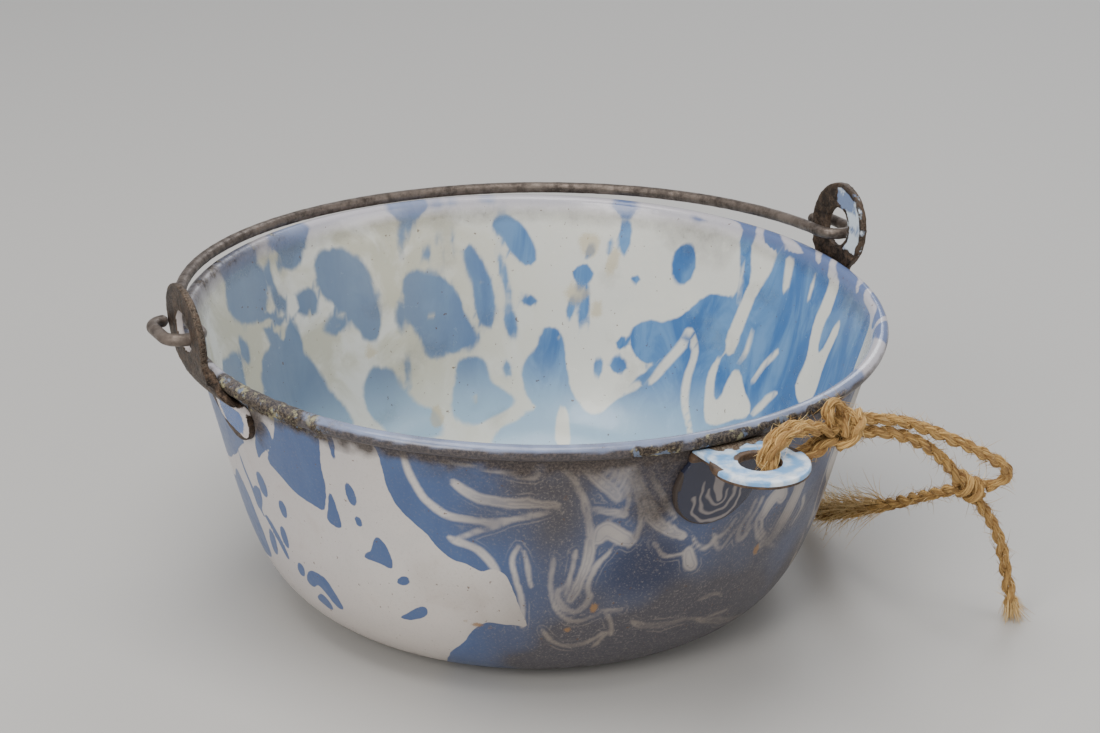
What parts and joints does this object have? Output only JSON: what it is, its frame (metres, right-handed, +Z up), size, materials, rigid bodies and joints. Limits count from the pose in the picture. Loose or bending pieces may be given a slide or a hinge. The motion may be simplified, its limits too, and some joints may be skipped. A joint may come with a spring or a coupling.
{
  "type": "enamelled preserving kettle",
  "caption": "Wide, shallow enamelled steel pot with a rolled rim, a swinging wire bail on upright ears, a tipping ear on the wall, and a jute twine hung from it.",
  "frame": {"origin": "middle of the flat base, on the surface it stands on", "axes": "+Z up along the pot's axis; +X through the right-hand bail ear along the bail's pivot line; +Y to the back, the side the bail rests on; the tipping ear is near -Y"},
  "size_m": [0.2541, 0.2602, 0.121],
  "materials": {
    "enamel": "gloss vitreous enamel, blue and white swirl outside, cream and blue inside, worn and grimy",
    "ear_enamel": "chipped blue and white enamel over rusty steel",
    "bail_wire": "dull, oxidised brown steel wire",
    "twine": "natural jute"
  },
  "bodies": {
    "pot": {"pot_body": "enamel", "left_bail_ear": "ear_enamel", "right_bail_ear": "ear_enamel", "tipping_ear": "ear_enamel", "twine_hitch": "twine", "twine_hitch_knot": "twine", "twine_upper_strand": "twine", "twine_lower_strand": "twine", "twine_end_knot": "twine", "twine_front_tail": "twine", "twine_back_tail": "twine"},
    "bail": {"bail": "bail_wire"}
  },
  "joints": [
    {"name": "bail_swing", "type": "hinge", "parent": "pot", "child": "bail", "pos_m": [0, 0, 0.106], "axis": [1, 0, 0], "range_deg": [0, 188]}
  ]
}
